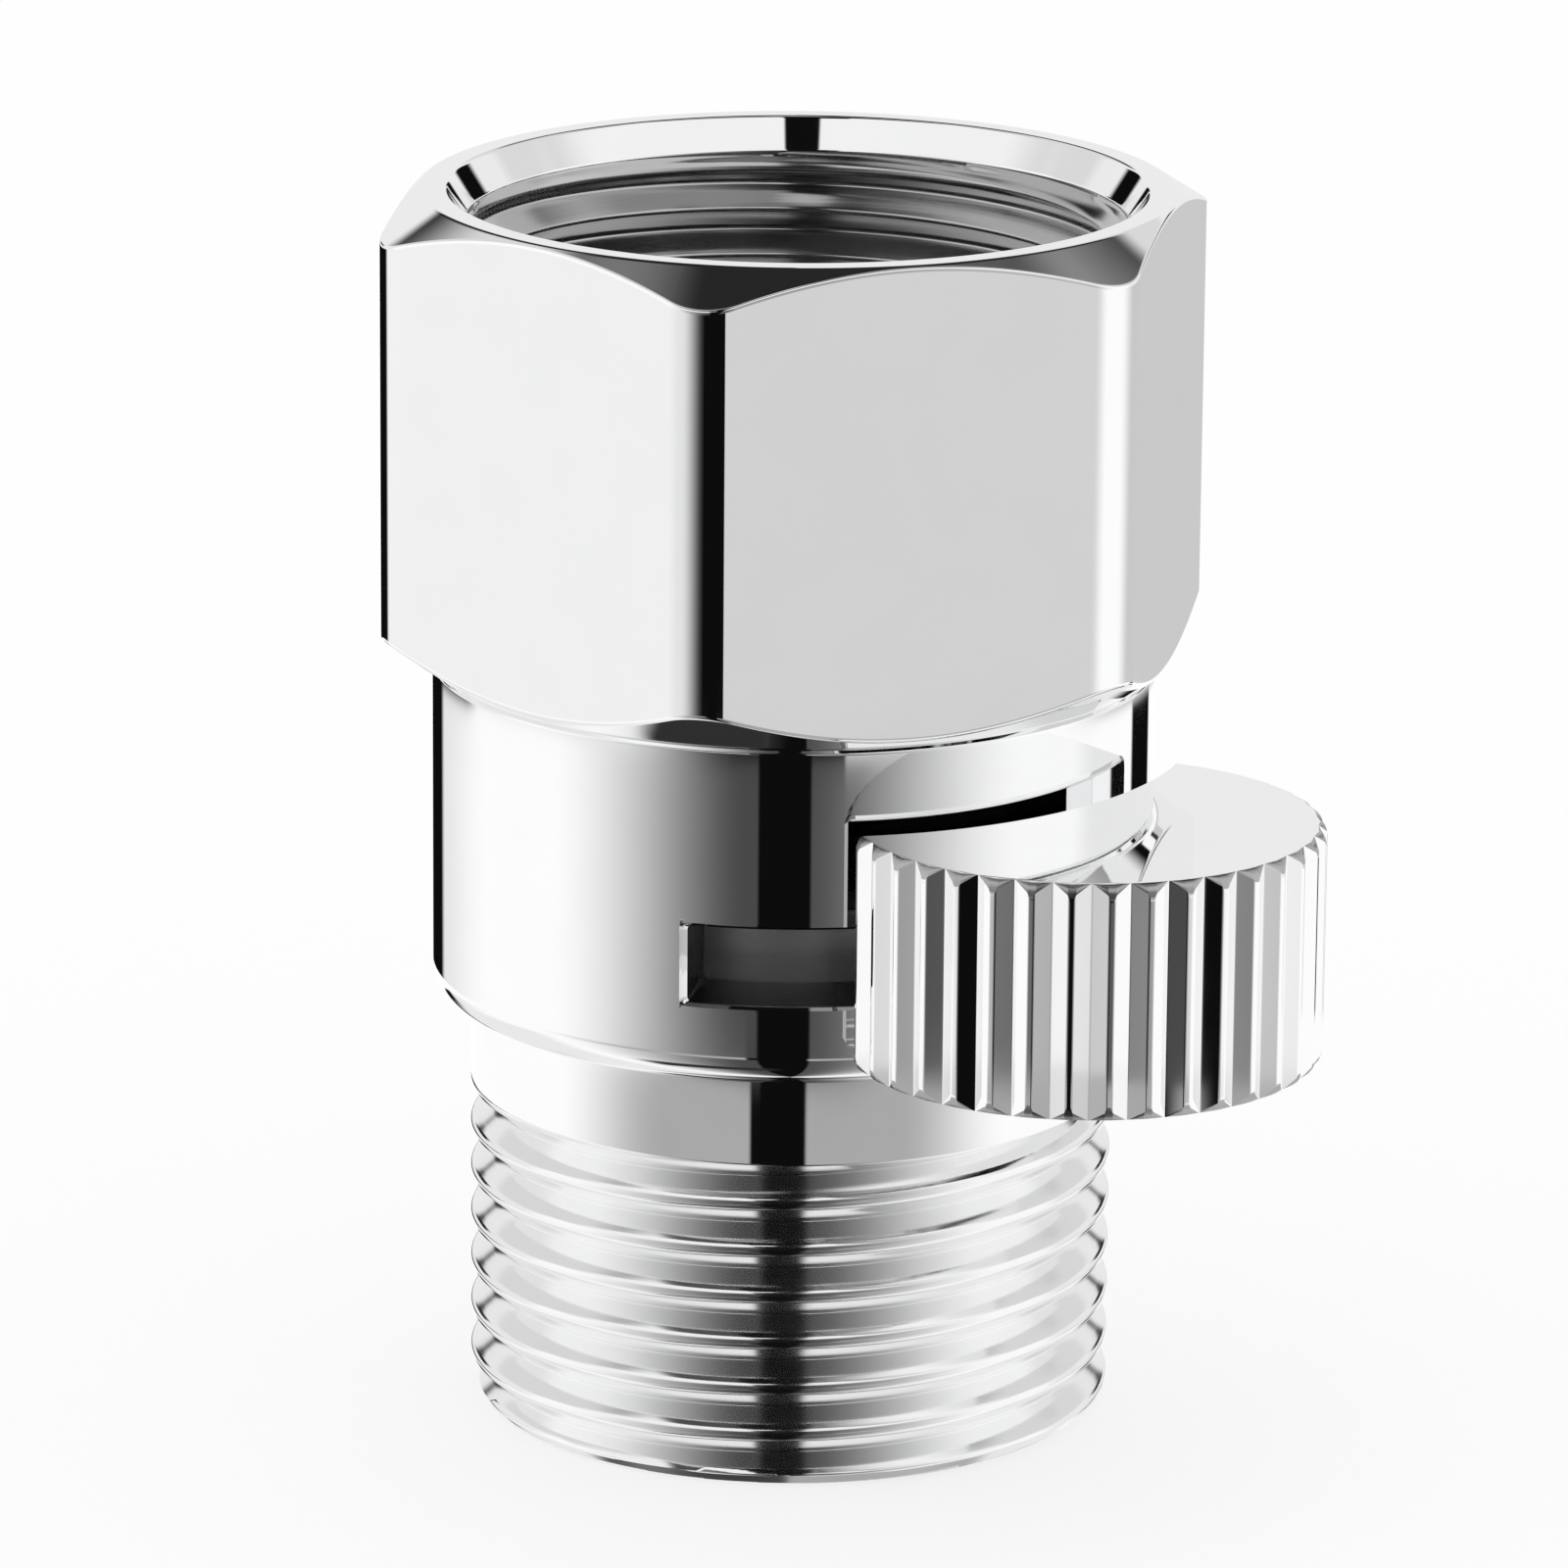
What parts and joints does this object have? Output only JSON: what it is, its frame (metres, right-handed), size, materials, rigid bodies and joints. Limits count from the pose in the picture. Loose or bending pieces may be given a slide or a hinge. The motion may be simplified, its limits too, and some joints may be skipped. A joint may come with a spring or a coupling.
{
  "type": "shower shut-off valve",
  "caption": "In-line shower shut-off valve with a hexagonal inlet nut, a round barrel, an outside-threaded outlet and a fluted side knob that swings a quarter turn.",
  "frame": {"origin": "on the pipe axis, in the plane of the outlet end face", "axes": "+Z along the pipe axis from the outlet to the inlet; -Y towards the viewer of the picture, so that the knob stands at the front right, 41.2 degrees from -Y towards +X"},
  "size_m": [0.0301, 0.0317, 0.0403],
  "materials": {
    "polished_chrome": "brass with polished chrome plating",
    "plated_rotor": "brass with nickel plating",
    "steel_pin": "turned stainless steel",
    "black_rubber": "smooth matt rubber",
    "white_glide_plastic": "smooth plastic",
    "white_ceramic": "lapped ceramic"
  },
  "bodies": {
    "housing": {"valve_barrel": "polished_chrome", "inlet_coupling": "polished_chrome", "inlet_washer": "black_rubber", "joint_ring": "black_rubber", "glide_ring": "white_glide_plastic", "fixed_disc": "white_ceramic", "seat_seal": "black_rubber"},
    "knob_and_rotor": {"thumb_knob": "polished_chrome", "drive_pin": "steel_pin", "rotor": "plated_rotor", "lower_rotor_ring": "black_rubber", "upper_rotor_ring": "black_rubber", "moving_disc": "white_ceramic"}
  },
  "joints": [
    {"name": "knob_swing", "type": "hinge", "parent": "housing", "child": "knob_and_rotor", "pos_m": [0, 0, 0.01775], "axis": [0, 0, 1], "range_deg": [-51.55, 38.45]}
  ]
}
